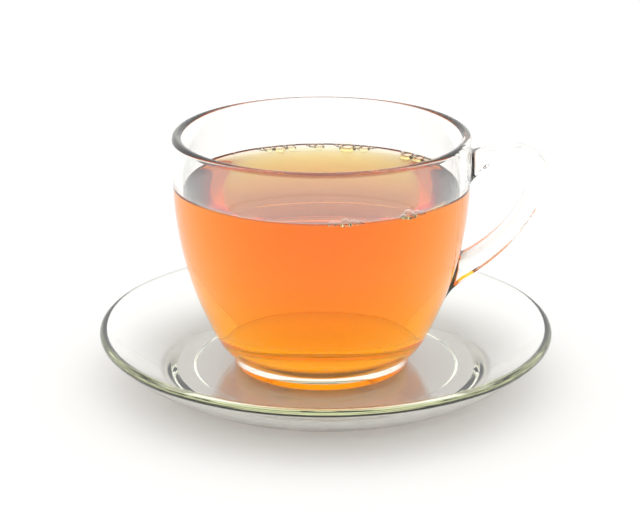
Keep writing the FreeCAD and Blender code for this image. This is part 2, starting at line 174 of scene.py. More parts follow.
# %% [markdown]
# ## Drawing a section
#
# A turned piece is known by its half-section: straight runs and arcs from the axis round to
# the axis again. The helpers below draw such runs as points in millimetres and join them,
# with a rounding where two runs meet at a corner, because a pressed and fire-polished edge is
# never sharp. Each straight run gets a point close to its ends, so that the shading of a flat
# stays flat right up to its rounding.

# %% Runs, arcs and roundings
LONGEST_STEP = 1.5
ARC_STEP = 7.5
GUARD = 0.12


def straight(start, end):
    """Points along a straight run."""
    start, end = Vector(start), Vector(end)
    length = (end - start).length
    count = max(1, math.ceil(length / LONGEST_STEP))
    shares = [step / count for step in range(count + 1)]
    if length > 4 * GUARD:
        shares = sorted(set(shares + [GUARD / length, 1 - GUARD / length]))
    return [start.lerp(end, share) for share in shares]


def polar(centre, radius, degrees):
    """The point of a circle at an angle."""
    turn = math.radians(degrees)
    return Vector((centre[0] + radius * math.cos(turn), centre[1] + radius * math.sin(turn)))


def arc(centre, radius, first, last):
    """Points along an arc from one angle to another, in degrees."""
    turn = abs(last - first)
    count = max(2, math.ceil(math.radians(turn) * radius / LONGEST_STEP), math.ceil(turn / ARC_STEP))
    return [polar(centre, radius, first + (last - first) * step / count) for step in range(count + 1)]


def shortened(points, length):
    """The same run with a length cut off its end."""
    kept = list(points)
    while length > (kept[-1] - kept[-2]).length:
        length -= (kept[-1] - kept[-2]).length
        kept.pop()
    kept[-1] = kept[-1] + (kept[-2] - kept[-1]).normalized() * length
    return kept


def rounded(before, after, radius):
    """Two runs that meet at a corner, joined by a rounding."""
    turn = (before[-1] - before[-2]).angle(after[1] - after[0])
    setback = radius * math.tan(turn / 2)
    before = shortened(before, setback)
    after = shortened(after[::-1], setback)[::-1]
    start, end = before[-1], after[0]
    reach = radius * math.tan(turn / 4) * 4 / 3
    pull = start + (start - before[-2]).normalized() * reach
    push = end + (end - after[1]).normalized() * reach
    count = max(2, math.ceil(math.degrees(turn) / ARC_STEP))
    bend = []
    for step in range(1, count):
        t = step / count
        bend.append(start * (1 - t) ** 3 + pull * 3 * t * (1 - t) ** 2
                    + push * 3 * t ** 2 * (1 - t) + end * t ** 3)
    return before + bend + after


def section(first, *rest):
    """One outline from runs: (rounding, run) pairs, where a rounding of 0 is a smooth meeting."""
    outline = list(first)
    for radius, run in rest:
        outline = rounded(outline, run, radius) if radius else outline + run[1:]
    return outline


def crossing(first, first_radius, second, second_radius):
    """Where two circles cross: of the two points, the upper one."""
    across = Vector(second) - Vector(first)
    along = (first_radius ** 2 - second_radius ** 2 + across.length ** 2) / (2 * across.length)
    aside = math.sqrt(first_radius ** 2 - along ** 2)
    unit = across.normalized()
    return Vector(first) + unit * along + Vector((-unit.y, unit.x)) * aside


def heading(start, end):
    """The direction from one point to another, in degrees."""
    away = Vector(end) - Vector(start)
    return math.degrees(math.atan2(away.y, away.x))


print("a rounding of 1.4 mm takes", len(arc((0, 0), 1.4, 0, 90)), "points")

# %% [markdown]
# ## Turning a section
#
# A lathe or a round mould makes a shape that is the same at every angle. Blender's Spin and
# Screw tools do this too, but here it is a Geometry Nodes tree, because the rule is so short:
# lay out a grid with one row for each point of the section and one column for each step of
# the turn, and move each grid point to its section point, turned by its column's angle. Merge
# by Distance then closes the seam and the two poles on the axis.


# %% The turning tree
def turning_tree():
    """A tree that turns its own mesh, a half-section in the XZ plane, about an upright axis."""
    tree = bpy.data.node_groups.new("turned_piece", "GeometryNodeTree")
    sockets = tree.interface
    sockets.new_socket("Section", in_out="INPUT", socket_type="NodeSocketGeometry")
    sockets.new_socket("Steps", in_out="INPUT", socket_type="NodeSocketInt")
    sockets.new_socket("Axis X", in_out="INPUT", socket_type="NodeSocketFloat")
    sockets.new_socket("Material", in_out="INPUT", socket_type="NodeSocketMaterial")
    sockets.new_socket("Piece", in_out="OUTPUT", socket_type="NodeSocketGeometry")
    given = add(tree, "NodeGroupInput").outputs

    points = add(tree, "GeometryNodeAttributeDomainSize", {}, {"Geometry": given["Section"]})
    columns = add(tree, "ShaderNodeMath", {"operation": "ADD"}, {0: given["Steps"], 1: 1.0})
    grid = add(tree, "GeometryNodeMeshGrid", {}, {
        "Vertices X": points.outputs["Point Count"], "Vertices Y": columns})
    index = add(tree, "GeometryNodeInputIndex")
    ratio = add(tree, "ShaderNodeMath", {"operation": "DIVIDE"}, {0: index, 1: columns})
    row = add(tree, "ShaderNodeMath", {"operation": "FLOOR"}, {0: ratio})
    column = add(tree, "ShaderNodeMath", {"operation": "FLOORED_MODULO"}, {0: index, 1: columns})

    where = add(tree, "GeometryNodeInputPosition")
    point = add(tree, "GeometryNodeSampleIndex", {"data_type": "FLOAT_VECTOR"}, {
        "Geometry": given["Section"], "Value": where, "Index": row})
    turn = add(tree, "ShaderNodeMath", {"operation": "DIVIDE"}, {0: math.tau, 1: given["Steps"]})
    angle = add(tree, "ShaderNodeMath", {"operation": "MULTIPLY"}, {0: column, 1: turn})
    turned = add(tree, "ShaderNodeVectorRotate", {"rotation_type": "Z_AXIS"}, {
        "Vector": point, "Angle": angle})
    axis = add(tree, "ShaderNodeCombineXYZ", {}, {"X": given["Axis X"]})
    placed = add(tree, "ShaderNodeVectorMath", {"operation": "ADD"}, {0: turned, 1: axis})

    shell = add(tree, "GeometryNodeSetPosition", {}, {"Geometry": grid, "Position": placed})
    outwards = add(tree, "GeometryNodeFlipFaces", {}, {"Mesh": shell})
    closed = add(tree, "GeometryNodeMergeByDistance", {}, {"Geometry": outwards, "Distance": 1e-6})
    smooth = add(tree, "GeometryNodeSetShadeSmooth", {}, {"Geometry": closed, "Shade Smooth": True})
    real = add(tree, "GeometryNodeRealizeInstances", {}, {"Geometry": smooth})
    dressed = add(tree, "GeometryNodeSetMaterial", {}, {
        "Geometry": real, "Material": given["Material"]})
    add(tree, "NodeGroupOutput", {}, {"Piece": dressed})
    return tree


def grown(name, tree, vertices, edges, values, attributes={}):
    """Run a tree on a small mesh of points and edges, and keep the result as a plain mesh."""
    seed = bpy.data.meshes.new(name + "_seed")
    seed.from_pydata([tuple(v) for v in vertices], edges, [])
    for label, numbers in attributes.items():
        seed.attributes.new(label, "FLOAT", "POINT").data.foreach_set("value", numbers)
    piece = bpy.data.objects.new(name, seed)
    bpy.context.scene.collection.objects.link(piece)
    modifier = piece.modifiers.new("shape", "NODES")
    modifier.node_group = tree
    for item in tree.interface.items_tree:
        if item.in_out == "INPUT" and item.name in values:
            modifier[item.identifier] = values[item.name]
    evaluated = piece.evaluated_get(bpy.context.evaluated_depsgraph_get())
    result = bpy.data.meshes.new_from_object(evaluated)
    piece.modifiers.clear()
    piece.data = result
    result.name = name
    bpy.data.meshes.remove(seed)
    return piece


def turned(name, outline, steps, axis_x, base_z, material):
    """Turn an outline in millimetres, drawn up from base_z, about an upright axis."""
    vertices = [(x * MM, 0, base_z + z * MM) for x, z in outline]
    edges = [(step, step + 1) for step in range(len(outline) - 1)]
    values = {"Steps": steps, "Axis X": axis_x, "Material": material}
    return grown(name, turning, vertices, edges, values)


def report(piece):
    """Say how large a closed mesh is and whether its faces point outwards."""
    shape = bmesh.new()
    shape.from_mesh(piece.data)
    volume = shape.calc_volume(signed=True) * 1e6
    loose = sum(not edge.is_manifold for edge in shape.edges)
    triangles = len(shape.calc_loop_triangles())
    shape.free()
    print(f"{piece.name}: {volume:.2f} cm3, {triangles} triangles, {loose} open edges")


turning = turning_tree()
print("the turning tree has", len(turning.nodes), "nodes")

# %% [markdown]
# ## The cup's bowl
#
# The bowl stands on a low foot that leans out to a neck, turns through a tight heel into a
# long belly, and runs straight up to a rounded rim. Inside, the floor is flat and turns up
# into the wall through a wide corner, so the glass is thickest round the base, as in any
# pressed cup. Under the foot is a shallow hollow, so the cup stands on a ring.

# %% The bowl's sizes and section, in millimetres up from its foot
cup_axis = cup_low.x + (cup_high.y - cup_low.y) / 2
RIM_RADIUS = 45.0
CUP_HEIGHT = (cup_high.z - cup_low.z) / MM
BELLY_TOP = CUP_HEIGHT - 13.4
WALL = 2.9
LIP_ROUND = 1.4
HEEL_ARC = 10.0
NECK = (28.6, 4.6)
BELLY_INSET = 15.0
BELLY_ARC = ((BELLY_TOP - NECK[1]) ** 2 + BELLY_INSET ** 2) / (2 * BELLY_INSET)
FOOT_RADIUS = 26.7
PUNT_TOP = (18.6, 1.6)
FLOOR = 6.0
CORNER = 14.0
TURN_STEPS = 288
STANDING_GAP = 0.03          # two glasses touch at a few points only, so air shows between them
PUNT_EDGE = (21.0, STANDING_GAP)

belly_centre = (RIM_RADIUS - BELLY_ARC, BELLY_TOP)
heel_centre = crossing(belly_centre, BELLY_ARC - HEEL_ARC, NECK, HEEL_ARC)


def cavity(deeper):
    """The inside from the axis up to the straight wall, drawn a little deeper into the glass."""
    radius, corner = BELLY_ARC - WALL + deeper, CORNER + deeper
    low = FLOOR - deeper
    corner_z = low + corner
    reach = math.sqrt((radius - corner) ** 2 - (BELLY_TOP - corner_z) ** 2)
    centre = (belly_centre[0] + reach, corner_z)
    turn = heading(belly_centre, centre)
    return (straight((0, low), (centre[0], low)), arc(centre, corner, -90, turn),
            arc(belly_centre, radius, turn, 0))


floor_run, corner_run, belly_run = cavity(0)
heel_turn = heading(belly_centre, heel_centre)
bowl_section = section(
    straight((0, PUNT_TOP[1]), PUNT_TOP),
    (0.8, straight(PUNT_TOP, PUNT_EDGE)),
    (0.7, straight(PUNT_EDGE, (FOOT_RADIUS, STANDING_GAP))),
    (0.7, straight((FOOT_RADIUS, STANDING_GAP), NECK)),
    (0.8, arc(heel_centre, HEEL_ARC, heading(heel_centre, NECK), heel_turn)),
    (0, arc(belly_centre, BELLY_ARC, heel_turn, 0)),
    (0, straight((RIM_RADIUS, BELLY_TOP), (RIM_RADIUS, CUP_HEIGHT))),
    (LIP_ROUND, straight((RIM_RADIUS, CUP_HEIGHT), (RIM_RADIUS - WALL, CUP_HEIGHT))),
    (LIP_ROUND, straight((RIM_RADIUS - WALL, CUP_HEIGHT), (RIM_RADIUS - WALL, BELLY_TOP))),
    (0, belly_run[::-1]), (0, corner_run[::-1]), (0, floor_run[::-1]))
cup_base = cup_low.z
cup = turned("cup_bowl", bowl_section, TURN_STEPS, cup_axis, cup_base, cup_glass)
report(cup)

# %% [markdown]
# ## The handle
#
# The handle is an ear: a bar of glass that leaves the wall just under the rim, turns down at
# a rounded shoulder and runs back into the belly. Seen from the side it lies between two
# rails, an outer and an inner one, each a chain of smooth arcs. The tree below reads the
# middle line, half the distance between the rails and the way across as plain points with
# attributes, and sets a ring of points round each: a rounded oblong, flat on its faces and
# soft on its edges, as a mould leaves it. Close to the wall each ring swells outwards along a
# small circle, which is the rounding that glass always has where two parts meet.

# %% The handle's rails, in the same millimetres
REACH = RIM_RADIUS + 23.9
TOP = CUP_HEIGHT - 3.7
HANDLE_HALF_WIDTH = 4.5
GRIP_TOP, GRIP_SIDE = 5.3, 6.2
STATIONS = 26                # rings along each of the rails' four stretches
FINE = 0.2                   # step along a rail while it is drawn


def wall_radius(z):
    """The cup's outside radius at a height."""
    drop = max(0.0, BELLY_TOP - z)
    return belly_centre[0] + math.sqrt(BELLY_ARC ** 2 - drop ** 2)


def trail(start, facing, *runs):
    """Points of a run that starts somewhere, faces a way in degrees, and then follows arcs.

    Each run is (radius, turn to the left in degrees), or (length, 0) for a straight one.
    """
    points = [Vector(start)]
    for size, turn in runs:
        length = abs(math.radians(turn)) * size if turn else size
        count = math.ceil(length / FINE)
        for step in range(count):
            facing += turn / count / 2
            chord = 2 * size * math.sin(math.radians(abs(turn) / count / 2)) if turn else length / count
            way = math.radians(facing)
            points.append(points[-1] + chord * Vector((math.cos(way), math.sin(way))))
            facing += turn / count / 2
    return points


def up_to_wall(run):
    """The run from its start to the middle of the cup's wall."""
    return [p for p in run if p.x > wall_radius(p.y) - WALL / 2]


def evenly(run, count):
    """The same run as evenly spaced points."""
    places = [(len(run) - 1) * step / count for step in range(count)]
    return [run[int(at)].lerp(run[int(at) + 1], at % 1) for at in places] + [run[-1]]


def rail(reach, top, shoulder, bend, brow, down):
    """One rail from the wall, over the top and back to the wall, as evenly spaced points."""
    peak = (reach - shoulder, top)
    over = up_to_wall(trail(peak, 180, *brow))[::-1]
    corner = trail(peak, 0, (shoulder, -90))
    side = trail(corner[-1], -90, (bend[0], -bend[1]))
    back = up_to_wall(trail(side[-1], -90 - bend[1], *down))
    points = evenly(over, STATIONS)
    for stretch in (corner, side, back):
        points += evenly(stretch, STATIONS)[1:]
    return points


outer_rail = rail(REACH, TOP, 9.7, (17.4, 25), [(41, 60)], [(57.5, -35), (18, 20), (30, 0)])
inner_rail = rail(REACH - GRIP_SIDE, TOP - GRIP_TOP, 5.6, (9.4, 23), [(15, 38), (20, 0)], [(40, -60)])
middle = [(a + b) / 2 for a, b in zip(outer_rail, inner_rail)]
halves = [(a - b).length / 2 for a, b in zip(outer_rail, inner_rail)]
across = [(a - b).normalized() for a, b in zip(outer_rail, inner_rail)]
print("the handle is", round(2 * min(halves), 1), "to", round(2 * max(halves), 1), "mm thick")

# %% The handle's tree
RING_POINTS = 48
SQUARENESS = 4.5             # 2 would be an ellipse, and a large number a box
ROOT_ROUND = 1.8             # radius of the rounding between handle and wall


def bar_tree():
    """A tree that sets a rounded oblong ring round each point of its mesh and skins them."""
    tree = bpy.data.node_groups.new("moulded_bar", "GeometryNodeTree")
    for name, kind in (("Line", "Geometry"), ("Ring Points", "Int"), ("Squareness", "Float"),
                       ("Rim Radius", "Float"), ("Belly Arc", "Float"), ("Belly Top", "Float"),
                       ("Root Round", "Float"), ("Material", "Material")):
        tree.interface.new_socket(name, in_out="INPUT", socket_type="NodeSocket" + kind)
    tree.interface.new_socket("Piece", in_out="OUTPUT", socket_type="NodeSocketGeometry")
    given = add(tree, "NodeGroupInput").outputs

    points = add(tree, "GeometryNodeAttributeDomainSize", {}, {"Geometry": given["Line"]})
    columns = add(tree, MATH, {"operation": "ADD"}, {0: given["Ring Points"], 1: 1.0})
    grid = add(tree, "GeometryNodeMeshGrid", {}, {
        "Vertices X": points.outputs["Point Count"], "Vertices Y": columns})
    index = add(tree, "GeometryNodeInputIndex")
    rows_done = add(tree, MATH, {"operation": "DIVIDE"}, {0: index, 1: columns})
    row = add(tree, MATH, {"operation": "FLOOR"}, {0: rows_done})
    in_row = add(tree, MATH, {"operation": "FLOORED_MODULO"}, {0: index, 1: columns})
    column = add(tree, MATH, {"operation": "FLOORED_MODULO"}, {0: in_row, 1: given["Ring Points"]})
    turned_by = add(tree, MATH, {"operation": "MULTIPLY"}, {0: column, 1: math.tau})
    angle = add(tree, MATH, {"operation": "DIVIDE"}, {0: turned_by, 1: given["Ring Points"]})

    def at_station(name):
        """A value stored on the line, read at the station that this row stands on."""
        value = add(tree, "GeometryNodeInputNamedAttribute", {"data_type": "FLOAT"}, {"Name": name})
        return add(tree, "GeometryNodeSampleIndex", {"data_type": "FLOAT"}, {
            "Geometry": given["Line"], "Value": value, "Index": row})

    here = add(tree, "GeometryNodeSampleIndex", {"data_type": "FLOAT_VECTOR"}, {
        "Geometry": given["Line"], "Value": add(tree, "GeometryNodeInputPosition"), "Index": row})
    out_way = add(tree, "ShaderNodeCombineXYZ", {}, {"X": at_station("out_x"), "Z": at_station("out_z")})
    side_way = add(tree, "ShaderNodeCombineXYZ", {}, {"Y": 1.0})

    # The ring: a circle whose cosine and sine are raised to a small power, which squares it.
    power = add(tree, MATH, {"operation": "DIVIDE"}, {0: 2.0, 1: given["Squareness"]})

    def squared(wave_kind):
        """The wave at this angle, raised to the power with its sign kept."""
        wave = add(tree, MATH, {"operation": wave_kind}, {0: angle})
        sign = add(tree, MATH, {"operation": "SIGN"}, {0: wave})
        size = add(tree, MATH, {"operation": "ABSOLUTE"}, {0: wave})
        raised = add(tree, MATH, {"operation": "POWER"}, {0: size, 1: power})
        return add(tree, MATH, {"operation": "MULTIPLY"}, {0: sign, 1: raised})

    out_length = add(tree, MATH, {"operation": "MULTIPLY"}, {
        0: squared("COSINE"), 1: at_station("half_thick")})
    side_length = add(tree, MATH, {"operation": "MULTIPLY"}, {
        0: squared("SINE"), 1: at_station("half_wide")})
    outward = add(tree, VECTOR_MATH, {"operation": "SCALE"}, {0: out_way, "Scale": out_length})
    sideward = add(tree, VECTOR_MATH, {"operation": "SCALE"}, {0: side_way, "Scale": side_length})
    ring = add(tree, VECTOR_MATH, {"operation": "ADD"}, {0: outward, 1: sideward})
    bare = add(tree, VECTOR_MATH, {"operation": "ADD"}, {0: here, 1: ring})

    # How far this point is from the bowl's wall, which follows the belly's arc.
    spot = add(tree, "ShaderNodeSeparateXYZ", {}, {0: bare})
    x_squared = add(tree, MATH, {"operation": "MULTIPLY"}, {0: spot.outputs["X"], 1: spot.outputs["X"]})
    y_squared = add(tree, MATH, {"operation": "MULTIPLY"}, {0: spot.outputs["Y"], 1: spot.outputs["Y"]})
    both = add(tree, MATH, {"operation": "ADD"}, {0: x_squared, 1: y_squared})
    from_axis = add(tree, MATH, {"operation": "SQRT"}, {0: both})
    below = add(tree, MATH, {"operation": "SUBTRACT"}, {0: given["Belly Top"], 1: spot.outputs["Z"]})
    drop = add(tree, MATH, {"operation": "MAXIMUM"}, {0: below, 1: 0.0})
    arc_squared = add(tree, MATH, {"operation": "MULTIPLY"}, {
        0: given["Belly Arc"], 1: given["Belly Arc"]})
    drop_squared = add(tree, MATH, {"operation": "MULTIPLY"}, {0: drop, 1: drop})
    chord_squared = add(tree, MATH, {"operation": "SUBTRACT"}, {0: arc_squared, 1: drop_squared})
    chord = add(tree, MATH, {"operation": "SQRT"}, {0: chord_squared})
    centre = add(tree, MATH, {"operation": "SUBTRACT"}, {0: given["Rim Radius"], 1: given["Belly Arc"]})
    wall = add(tree, MATH, {"operation": "ADD"}, {0: centre, 1: chord})
    past_wall = add(tree, MATH, {"operation": "SUBTRACT"}, {0: from_axis, 1: wall})
    clear = add(tree, MATH, {"operation": "MAXIMUM"}, {0: past_wall, 1: 0.0})

    # The swell: a quarter circle that fades out one rounding away from the wall.
    remaining = add(tree, MATH, {"operation": "SUBTRACT"}, {0: given["Root Round"], 1: clear})
    left = add(tree, MATH, {"operation": "MAXIMUM"}, {0: remaining, 1: 0.0})
    round_squared = add(tree, MATH, {"operation": "MULTIPLY"}, {
        0: given["Root Round"], 1: given["Root Round"]})
    left_squared = add(tree, MATH, {"operation": "MULTIPLY"}, {0: left, 1: left})
    depth_squared = add(tree, MATH, {"operation": "SUBTRACT"}, {0: round_squared, 1: left_squared})
    not_negative = add(tree, MATH, {"operation": "MAXIMUM"}, {0: depth_squared, 1: 0.0})
    depth = add(tree, MATH, {"operation": "SQRT"}, {0: not_negative})
    swell = add(tree, MATH, {"operation": "SUBTRACT"}, {0: given["Root Round"], 1: depth})

    # It only widens the bar along the wall, never into it.
    outwards = add(tree, VECTOR_MATH, {"operation": "NORMALIZE"}, {0: ring})
    flat_spot = add(tree, VECTOR_MATH, {"operation": "MULTIPLY"}, {0: bare, 1: (1.0, 1.0, 0.0)})
    from_wall = add(tree, VECTOR_MATH, {"operation": "NORMALIZE"}, {0: flat_spot})
    facing = add(tree, VECTOR_MATH, {"operation": "DOT_PRODUCT"}, {0: outwards, 1: from_wall})
    square_on = add(tree, MATH, {"operation": "ABSOLUTE"}, {0: facing.outputs["Value"]})
    along = add(tree, MATH, {"operation": "SUBTRACT"}, {0: 1.0, 1: square_on})
    widen_by = add(tree, MATH, {"operation": "MULTIPLY"}, {0: swell, 1: along})
    widening = add(tree, VECTOR_MATH, {"operation": "SCALE"}, {0: outwards, "Scale": widen_by})
    swollen = add(tree, VECTOR_MATH, {"operation": "ADD"}, {0: bare, 1: widening})

    skin = add(tree, "GeometryNodeSetPosition", {}, {"Geometry": grid, "Position": swollen})
    closed = add(tree, "GeometryNodeMergeByDistance", {}, {"Geometry": skin, "Distance": 1e-6})
    smooth = add(tree, "GeometryNodeSetShadeSmooth", {}, {"Geometry": closed, "Shade Smooth": True})
    real = add(tree, "GeometryNodeRealizeInstances", {}, {"Geometry": smooth})
    dressed = add(tree, "GeometryNodeSetMaterial", {}, {
        "Geometry": real, "Material": given["Material"]})
    add(tree, "NodeGroupOutput", {}, {"Piece": dressed})
    return tree


stations = list(range(len(middle)))
stations = [0] + stations + [len(middle) - 1]          # the end rings shrink to a point
open_ring = [0.0] + [1.0] * len(middle) + [0.0]
handle = grown(
    "cup_handle", bar_tree(),
    [(middle[k].x * MM, 0, middle[k].y * MM) for k in stations],
    [(k, k + 1) for k in range(len(stations) - 1)],
    {"Ring Points": RING_POINTS, "Squareness": SQUARENESS, "Rim Radius": RIM_RADIUS * MM,
     "Belly Arc": BELLY_ARC * MM, "Belly Top": BELLY_TOP * MM, "Root Round": ROOT_ROUND * MM,
     "Material": cup_glass},
    {"half_thick": [halves[k] * MM * f for k, f in zip(stations, open_ring)],
     "half_wide": [HANDLE_HALF_WIDTH * MM * f for f in open_ring],
     "out_x": [across[k].x for k in stations], "out_z": [across[k].y for k in stations]})
handle.data.transform(Matrix.Translation((cup_axis, 0, cup_base)))
report(handle)

# %% [markdown]
# ## Bowl and handle, one glass
#
# On the real cup the two are one piece, so there is no surface between them. A Boolean
# union takes the handle's buried ends away and leaves a single skin, which light then
# enters once and leaves once. The manifold solver is made for closed meshes like these.

# %% Join them
union = cup.modifiers.new("one_glass", "BOOLEAN")
union.operation = "UNION"
union.solver = "MANIFOLD"
union.object = handle
joined = bpy.data.meshes.new_from_object(cup.evaluated_get(bpy.context.evaluated_depsgraph_get()))
cup.modifiers.clear()
cup.data = joined
bpy.data.objects.remove(handle)
cup.name = joined.name = "glass_cup"
cup.data.shade_smooth()
cup.data.set_sharp_from_angle(angle=math.radians(40))
report(cup)

# %% [markdown]
# ## The saucer
#
# The saucer is one shallow dish: a flat well for the cup, a wall that curves up along a
# circle, and a lip rounded like the cup's. Its underside stands on a narrow ring round a
# shallow hollow. It is turned like the bowl.

# %% The saucer's section and piece
SAUCER_RADIUS = (saucer_high.x - saucer_low.x) / 2 / MM
PLATE = 2.8
WELL = cup_low.z / MM
BASE, RING, HOLLOW = 46.2, 5.0, 0.8
DISH_ARC, DISH_START = 60.0, 18.85

dish_centre = (BASE - DISH_ARC * math.sin(math.radians(DISH_START)),
               DISH_ARC * math.cos(math.radians(DISH_START)))
lip_turn = math.degrees(math.acos((SAUCER_RADIUS - PLATE / 2 - dish_centre[0]) / (DISH_ARC - PLATE / 2)))
lip_centre = polar(dish_centre, DISH_ARC - PLATE / 2, -lip_turn)
well_turn = math.degrees(math.asin((WELL - dish_centre[1]) / (DISH_ARC - PLATE)))
well_edge = polar(dish_centre, DISH_ARC - PLATE, well_turn)
saucer_section = section(
    straight((0, HOLLOW), (BASE - RING - HOLLOW, HOLLOW)),
    (0.6, straight((BASE - RING - HOLLOW, HOLLOW), (BASE - RING, 0))),
    (0.6, straight((BASE - RING, 0), (BASE, 0))),
    (1.0, arc(dish_centre, DISH_ARC, DISH_START - 90, -lip_turn)),
    (0, arc(lip_centre, PLATE / 2, -lip_turn, 180 - lip_turn)),
    (0, arc(dish_centre, DISH_ARC - PLATE, -lip_turn, well_turn)),
    (8.0, straight(well_edge, (0, WELL))))
saucer = turned("glass_saucer", saucer_section, TURN_STEPS, 0.0, saucer_low.z, saucer_glass)
report(saucer)

# %% [markdown]
# ## The tea
#
# The tea fills the cavity and reaches a twentieth of a millimetre into the glass. Drawn that
# way there is no film of air between them, which would shine like a mirror, and light goes
# from glass to tea as it does in a real cup. At its edge the tea climbs the wall in a small
# curve, the meniscus, whose height falls off with the capillary length of water.

# %% Tea with its meniscus
WETTING = 0.05
CLIMB = 1.3                  # height of the meniscus at the wall
CAPILLARY = 1.9
EDGE_DROP = 0.6              # the middle of the tea lies this much under its edge
SURFACE_STEP = 0.25          # spacing of the points that draw the meniscus
SURFACE_POINTS = 44
tea_level = (tea_high.z - cup_low.z) / MM - EDGE_DROP
tea_floor, tea_corner, tea_side = cavity(WETTING)
contact = tea_level + CLIMB
tea_side = [p for p in tea_side if p.y < contact]
inner_radius = belly_centre[0] + math.sqrt((BELLY_ARC - WALL) ** 2 - (BELLY_TOP - contact) ** 2)
tea_side.append(Vector((inner_radius + WETTING, contact)))
surface_run = [Vector((inner_radius, contact))]
surface_run += [Vector((inner_radius - SURFACE_STEP * k,
                        tea_level + CLIMB * math.exp(-SURFACE_STEP * k / CAPILLARY)))
                for k in range(1, SURFACE_POINTS)]
surface_run += straight((surface_run[-1].x - 0.5, tea_level), (0, tea_level))
tea_section = tea_floor + tea_corner[1:] + tea_side[1:] + surface_run
tea = turned("tea_in_cup", tea_section, TURN_STEPS, cup_axis, cup_base, tea_liquid)
report(tea)

# %% [markdown]
# ## Where the tea wets the glass
#
# A surface throws back light by how much the index changes across it. Glass against air
# gives four parts in a hundred, but glass against tea only a third of one, which is why a
# filled cup looks deeper in colour than its empty rim. Each of the two pieces only knows its
# own index against air, so on their own they would shine far too much where they meet. So
# every vertex that touches the other piece is marked, and the finishes drop their gloss there.

# %% Mark the wetted surfaces
WET_REACH = 0.15 * MM


def mark_wetted(piece, other, highest):
    """Store 1 on the vertices that lie on the other piece, up to the line of contact."""
    other_skin = BVHTree.FromObject(other, bpy.context.evaluated_depsgraph_get())
    wet = [0.0] * len(piece.data.vertices)
    for vertex in piece.data.vertices:
        if vertex.co.z < highest and other_skin.find_nearest(vertex.co, WET_REACH)[0]:
            wet[vertex.index] = 1.0
    piece.data.attributes.new("wetted", "FLOAT", "POINT").data.foreach_set("value", wet)
    print(piece.name, "has", int(sum(wet)), "wetted vertices of", len(wet))


contact_height = cup_base + contact * MM
mark_wetted(cup, tea, contact_height)
mark_wetted(tea, cup, contact_height)

# %% [markdown]
# ## Bubbles
#
# Pouring leaves bubbles, and they gather where the tea meets the wall, in short rafts: one
# or two large ones with small ones leaning on them. Each is a dome of tea as thin as foil
# with a small curved foot all round. A raft is listed by where it starts and by the sizes
# of its bubbles, and each bubble touches the wall and its neighbour. The tree puts a dome at
# every point, as large as the point's attribute says.

# %% One dome, and the rafts
DOME_FILM = 0.05             # share of the bubble's radius; drawn thicker than foil so that it shows
RAFTS = (                    # where the raft starts, in degrees from the handle, and its diameters in mm
    (36.0, (1.0, 1.1, 3.5, 1.6, 3.9, 1.6)),
    (65.7, (0.9, 1.4, 3.0, 2.2, 4.2, 1.7, 1.0)),
    (91.0, (2.7, 1.9, 1.0)),
    (104.0, (2.7, 1.1, 3.4, 1.1, 2.5, 1.6, 1.0)),
    (-86.0, (2.0, 1.6, 2.8, 2.2, 1.6)),
    (-56.5, (1.8, 3.2, 2.2, 1.4)),
    (132.0, (1.1,)),
)


def dome_section():
    """Half-section of a bubble of radius 1 that stands on the level, as one closed skin."""
    foot = [Vector((1.3 - 0.38 * t, 0.34 * t ** 2.4)) for t in (k / 6 for k in range(6))]
    shell = [polar((0, 0.3), 1.0, a) for a in range(8, 91, 8)]
    shell[-1] = Vector((0, 1.3))
    inside = [polar((0, 0.3), 1.0 - DOME_FILM, a) for a in range(88, -5, -8)]
    inside[0] = Vector((0, 1.3 - DOME_FILM))
    return [Vector((0, -0.12)), Vector((1.3, -0.12))] + foot + shell + inside + [Vector((0, -0.04))]


dome = dome_section()
print(len(dome), "points in a dome,", sum(len(sizes) for _, sizes in RAFTS), "bubbles")

# %% Bubbles from the tree
def bubble_tree():
    """A tree that stands its own turned dome on every point, at the point's size."""
    tree = bpy.data.node_groups.new("bubbles", "GeometryNodeTree")
    for name, kind in (("Points", "Geometry"), ("Dome", "Object"), ("Spin Seed", "Int"),
                       ("Material", "Material")):
        tree.interface.new_socket(name, in_out="INPUT", socket_type="NodeSocket" + kind)
    tree.interface.new_socket("Piece", in_out="OUTPUT", socket_type="NodeSocketGeometry")
    given = add(tree, "NodeGroupInput").outputs
    made = add(tree, "GeometryNodeObjectInfo", {}, {"Object": given["Dome"]})
    faces = add(tree, "GeometryNodeInputMeshEdgeNeighbors")
    bare = add(tree, "FunctionNodeCompare", {"data_type": "INT", "operation": "EQUAL"}, {2: faces, 3: 0})
    shape = add(tree, "GeometryNodeDeleteGeometry", {"domain": "EDGE", "mode": "EDGE_FACE"}, {
        "Geometry": made.outputs["Geometry"], "Selection": bare})
    size = add(tree, "GeometryNodeInputNamedAttribute", {"data_type": "FLOAT"}, {"Name": "radius"})
    spin = add(tree, "FunctionNodeRandomValue", {"data_type": "FLOAT"}, {
        "Seed": given["Spin Seed"]})
    spin.inputs[3].default_value = math.tau
    about_z = add(tree, "ShaderNodeCombineXYZ", {}, {"Z": spin.outputs[1]})
    copies = add(tree, "GeometryNodeInstanceOnPoints", {}, {
        "Points": given["Points"], "Instance": shape,
        "Rotation": about_z, "Scale": size})
    real = add(tree, "GeometryNodeRealizeInstances", {}, {"Geometry": copies})
    smooth = add(tree, "GeometryNodeSetShadeSmooth", {}, {"Geometry": real, "Shade Smooth": True})
    dressed = add(tree, "GeometryNodeSetMaterial", {}, {
        "Geometry": smooth, "Material": given["Material"]})
    add(tree, "NodeGroupOutput", {}, {"Piece": dressed})
    return tree


